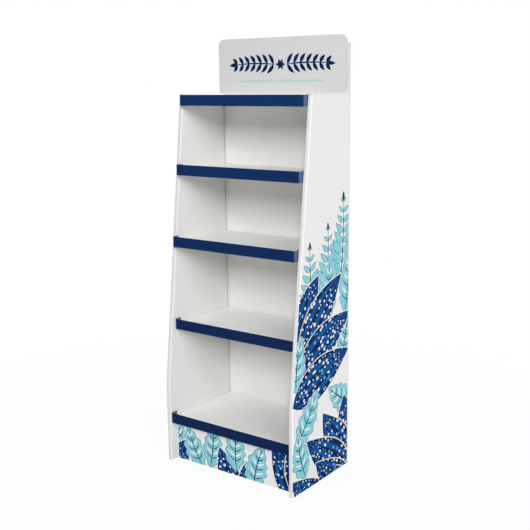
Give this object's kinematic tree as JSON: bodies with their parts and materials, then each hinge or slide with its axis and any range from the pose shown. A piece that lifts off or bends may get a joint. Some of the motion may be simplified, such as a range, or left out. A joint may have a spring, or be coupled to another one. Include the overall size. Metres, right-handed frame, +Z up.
{
  "type": "cardboard display stand",
  "caption": "Floor-standing cardboard display stand: trays with blue lips between hollow side walls, a plinth and a header card.",
  "frame": {"origin": "centre of the footprint, on the floor", "axes": "+Z up, the longest extent; -Y towards the open front; +X to the right seen from the front"},
  "size_m": [0.6, 0.38, 1.634],
  "materials": {
    "white_board": "white-lined corrugated board, matt to faint satin",
    "printed_board": "white-lined board with a printed facing in blues",
    "header_board": "smooth white double-wall board, matt",
    "blue_lip": "board dyed and lined in deep blue, faint satin"
  },
  "bodies": {
    "root": {"back_panel": "white_board", "base_lip": "blue_lip", "base_shelf": "white_board", "header_card": "header_board", "left_side_wall": "printed_board", "lower_lip": "blue_lip", "lower_shelf": "white_board", "middle_lip": "blue_lip", "middle_shelf": "white_board", "plinth": "printed_board", "plinth_support": "white_board", "right_side_wall": "printed_board", "roof_lip": "blue_lip", "roof_shelf": "white_board", "upper_lip": "blue_lip", "upper_shelf": "white_board"}
  },
  "joints": []
}
